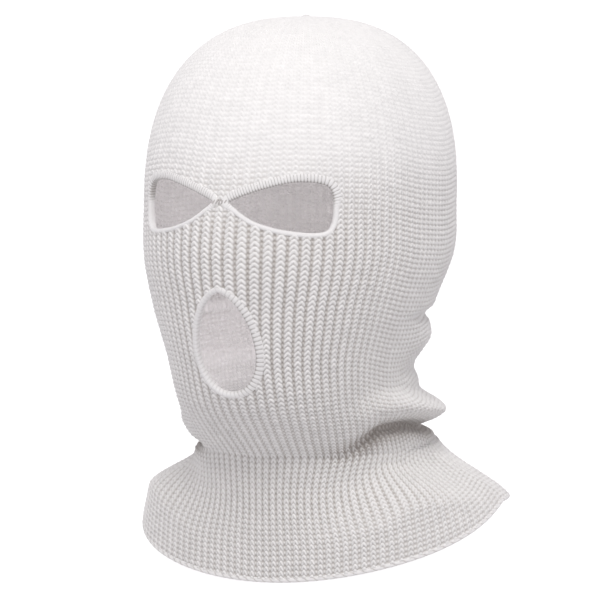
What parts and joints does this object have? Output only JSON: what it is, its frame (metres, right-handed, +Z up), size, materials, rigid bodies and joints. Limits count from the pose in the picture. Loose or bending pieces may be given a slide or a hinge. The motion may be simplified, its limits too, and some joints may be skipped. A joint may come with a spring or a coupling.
{
  "type": "balaclava",
  "caption": "Rib-knit balaclava with two eye holes pinched at the nose bridge, an egg-shaped mouth hole and a flared collar.",
  "frame": {"origin": "where the crown rests on top of the wearer's head, on the inside of the knit", "axes": "+Z up along the wearer's height, face towards -Y, +X to the wearer's left"},
  "size_m": [0.203, 0.2171, 0.2956],
  "materials": {
    "rib_knit": "matt 1x1 rib-knit acrylic yarn, ivory",
    "overlock_yarn": "matt twisted yarn, ivory, whip-stitched",
    "tack_thread": "matt sewing thread, ivory in shade"
  },
  "bodies": {
    "root": {"knit_hood": "rib_knit", "left_eye_edging": "overlock_yarn", "right_eye_edging": "overlock_yarn", "mouth_edging": "overlock_yarn", "nose_bridge_tack": "tack_thread", "hem_bind_off": "rib_knit", "crown_gather_yarn": "overlock_yarn", "back_seam": "overlock_yarn"}
  },
  "joints": []
}
